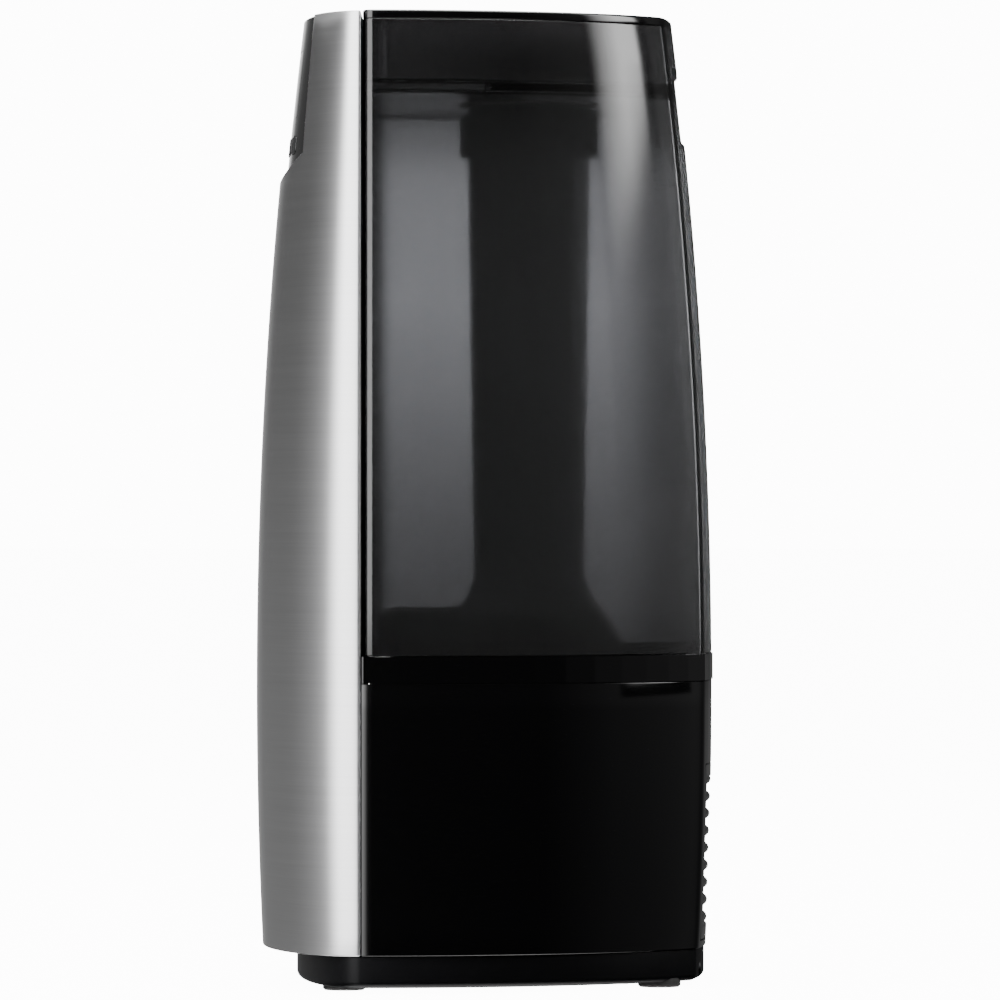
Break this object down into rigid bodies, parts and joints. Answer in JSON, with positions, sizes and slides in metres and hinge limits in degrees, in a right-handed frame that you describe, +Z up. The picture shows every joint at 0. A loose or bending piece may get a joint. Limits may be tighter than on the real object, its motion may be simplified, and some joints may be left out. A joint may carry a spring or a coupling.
{
  "type": "ultrasonic humidifier",
  "caption": "Tall tabletop ultrasonic humidifier with a smoked lift-off water tank, a brushed metal front column and a turning mist nozzle.",
  "frame": {"origin": "middle of the object's bounding box in X and Y, on the surface that the feet stand on", "axes": "+Z up, -Y towards the front column, +X to the right seen from behind the front, millimetre model stored in metres"},
  "size_m": [0.21, 0.1857, 0.39],
  "materials": {
    "black_matte_plastic": "fine moulded texture",
    "rubber_black": "soft matt rubber",
    "steel_screws": "zinc plated",
    "black_gloss_plastic": "polished",
    "brushed_metal": "fine brushing that runs across",
    "smoked_plastic": "clear smoked, polished",
    "lens_plastic": "dark clear window",
    "filter_foam": "open foam",
    "copper_windings": "enamelled wire",
    "aluminium_fins": "plain",
    "green_board": "solder mask",
    "yellow_core": "taped ferrite",
    "blue_cans": "sleeved cans",
    "grey_cable": "flat cable",
    "display_glass": "dark segments",
    "ceramic_disc": "silvered ceramic",
    "silicone_seal": "silicone",
    "red_silicone": "silicone",
    "white_plastic": "plain",
    "magnet_grey": "sintered",
    "sensor_tube": "potted"
  },
  "bodies": {
    "base": {"base_plate": "black_matte_plastic", "foot_front_left": "rubber_black", "foot_front_right": "rubber_black", "foot_rear_left": "rubber_black", "foot_rear_right": "rubber_black", "base_screws": "steel_screws", "cord_gland": "black_matte_plastic", "lower_housing": "black_gloss_plastic", "fan_frame": "black_matte_plastic", "fan_stator": "copper_windings", "air_duct": "black_matte_plastic", "water_basin": "black_matte_plastic", "transducer_disc": "ceramic_disc", "transducer_seal": "silicone_seal", "transducer_clamp": "steel_screws", "clamp_screws": "steel_screws", "driver_board": "green_board", "driver_heatsink": "aluminium_fins", "power_board": "green_board", "power_transformer": "yellow_core", "power_capacitors": "blue_cans", "board_screws": "steel_screws", "level_sensor": "sensor_tube", "float_clip": "white_plastic", "front_chassis": "black_matte_plastic", "front_cover": "brushed_metal", "column_cap": "black_matte_plastic", "control_fascia": "black_gloss_plastic", "display_lens": "lens_plastic", "display_module": "display_glass", "control_board": "green_board", "key_switches": "black_matte_plastic", "ribbon_cable": "grey_cable"},
    "grille": {"rear_grille": "black_gloss_plastic", "air_filter": "filter_foam"},
    "fan_rotor": {"fan_rotor": "black_matte_plastic"},
    "float": {"water_float": "white_plastic", "float_magnet": "magnet_grey"},
    "key_power": {"key_power": "black_gloss_plastic"},
    "key_mist": {"key_mist": "black_gloss_plastic"},
    "key_humidity": {"key_humidity": "black_gloss_plastic"},
    "key_timer": {"key_timer": "black_gloss_plastic"},
    "key_night": {"key_night": "black_gloss_plastic"},
    "tank": {"tank_shell": "smoked_plastic", "tank_floor": "black_matte_plastic", "mist_chimney": "black_matte_plastic", "chimney_seal": "silicone_seal", "handle_pocket": "black_matte_plastic", "mist_tray": "black_matte_plastic"},
    "tank_cap": {"tank_cap": "black_matte_plastic", "cap_gasket": "red_silicone", "scale_cartridge": "white_plastic"},
    "valve": {"valve_plunger": "white_plastic", "valve_seal": "red_silicone", "valve_spring": "steel_screws"},
    "lid": {"top_cover": "black_gloss_plastic"},
    "nozzle": {"mist_nozzle": "black_gloss_plastic"}
  },
  "joints": [
    {"name": "grille_pull", "type": "slide", "parent": "base", "child": "grille", "axis": [0, 1, 0], "range_m": [0, 0.04]},
    {"name": "fan_spin", "type": "hinge", "parent": "base", "child": "fan_rotor", "pos_m": [0, 0.07, 0.0487], "axis": [0, 1, 0], "continuous": true},
    {"name": "float_rise", "type": "slide", "parent": "base", "child": "float", "axis": [0, 0, 1], "range_m": [0, 0.012]},
    {"name": "key_power_press", "type": "slide", "parent": "base", "child": "key_power", "axis": [0, 1, 0], "range_m": [0, 0.0008], "stiffness_N_per_m": 400, "springref_m": -0.001},
    {"name": "key_mist_press", "type": "slide", "parent": "base", "child": "key_mist", "axis": [0, 1, 0], "range_m": [0, 0.0008], "stiffness_N_per_m": 400, "springref_m": -0.001},
    {"name": "key_humidity_press", "type": "slide", "parent": "base", "child": "key_humidity", "axis": [0, 1, 0], "range_m": [0, 0.0008], "stiffness_N_per_m": 400, "springref_m": -0.001},
    {"name": "key_timer_press", "type": "slide", "parent": "base", "child": "key_timer", "axis": [0, 1, 0], "range_m": [0, 0.0008], "stiffness_N_per_m": 400, "springref_m": -0.001},
    {"name": "key_night_press", "type": "slide", "parent": "base", "child": "key_night", "axis": [0, 1, 0], "range_m": [0, 0.0008], "stiffness_N_per_m": 400, "springref_m": -0.001},
    {"name": "tank_lift", "type": "slide", "parent": "base", "child": "tank", "axis": [0, 0, 1], "range_m": [0, 0.28]},
    {"name": "tank_cap_turn", "type": "hinge", "parent": "tank", "child": "tank_cap", "pos_m": [-0.05746, -0.007, 0.1172], "axis": [0, 0, 1], "range_deg": [0, 40]},
    {"name": "valve_slide", "type": "slide", "parent": "tank_cap", "child": "valve", "axis": [0, 0, 1], "range_m": [-0.0028, 0], "deforming": ["valve_spring"]},
    {"name": "lid_lift", "type": "slide", "parent": "tank", "child": "lid", "axis": [0, 0, 1], "range_m": [0, 0.08]},
    {"name": "nozzle_turn", "type": "hinge", "parent": "lid", "child": "nozzle", "pos_m": [0, 0.018, 0.388], "axis": [0, 0, 1], "continuous": true}
  ],
  "couplings": [
    {"joint": "valve_slide", "follows": "tank_lift", "ratio": -0.01}
  ]
}
